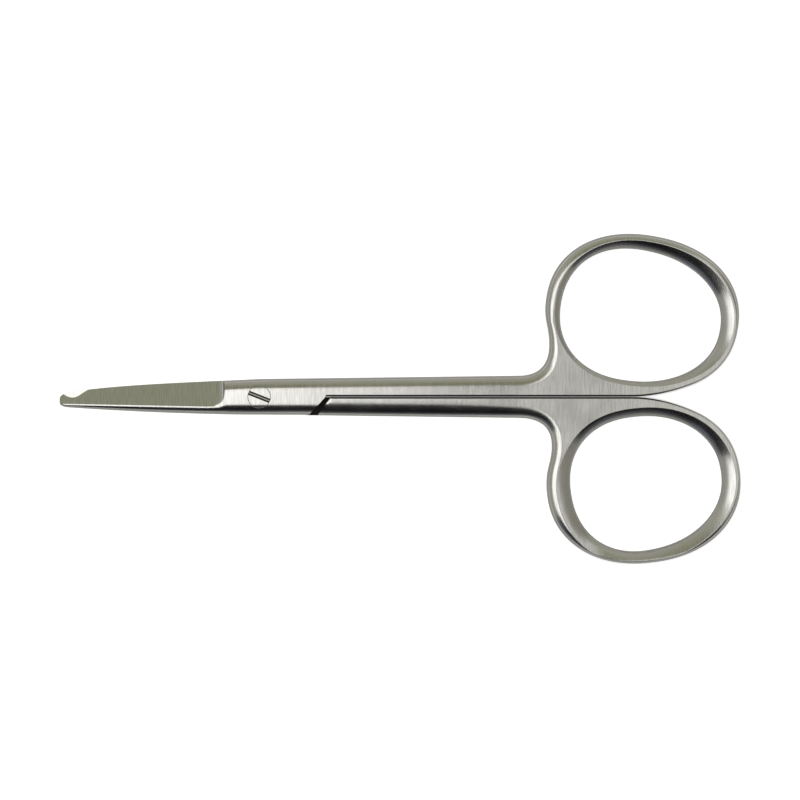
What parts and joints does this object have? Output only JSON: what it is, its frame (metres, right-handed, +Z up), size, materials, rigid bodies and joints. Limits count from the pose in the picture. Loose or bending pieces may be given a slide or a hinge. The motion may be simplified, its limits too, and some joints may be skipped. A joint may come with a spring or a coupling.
{
  "type": "suture scissors",
  "caption": "Small straight scissors with a hooked lower blade for lifting and cutting stitches, a lap joint with a slotted screw, slim shanks and oval finger rings.",
  "frame": {"origin": "on the pivot screw's axis, on the surface that the closed scissors lie on", "axes": "+X along the shanks towards the finger rings, +Y towards the hooked half's ring, +Z up along the pivot axis towards the screw's head"},
  "size_m": [0.1048, 0.0508, 0.0032],
  "materials": {
    "hooked_steel": "satin ground stainless steel",
    "plain_steel": "satin ground stainless steel",
    "screw_steel": "turned and ground flush"
  },
  "bodies": {
    "plain": {"plain_half": "plain_steel", "pivot_screw": "screw_steel"},
    "hooked": {"hooked_half": "hooked_steel"}
  },
  "joints": [
    {"name": "pivot_hinge", "type": "hinge", "parent": "plain", "child": "hooked", "pos_m": [0, 0, 0], "axis": [0, 0, 1], "range_deg": [0, 140]}
  ]
}
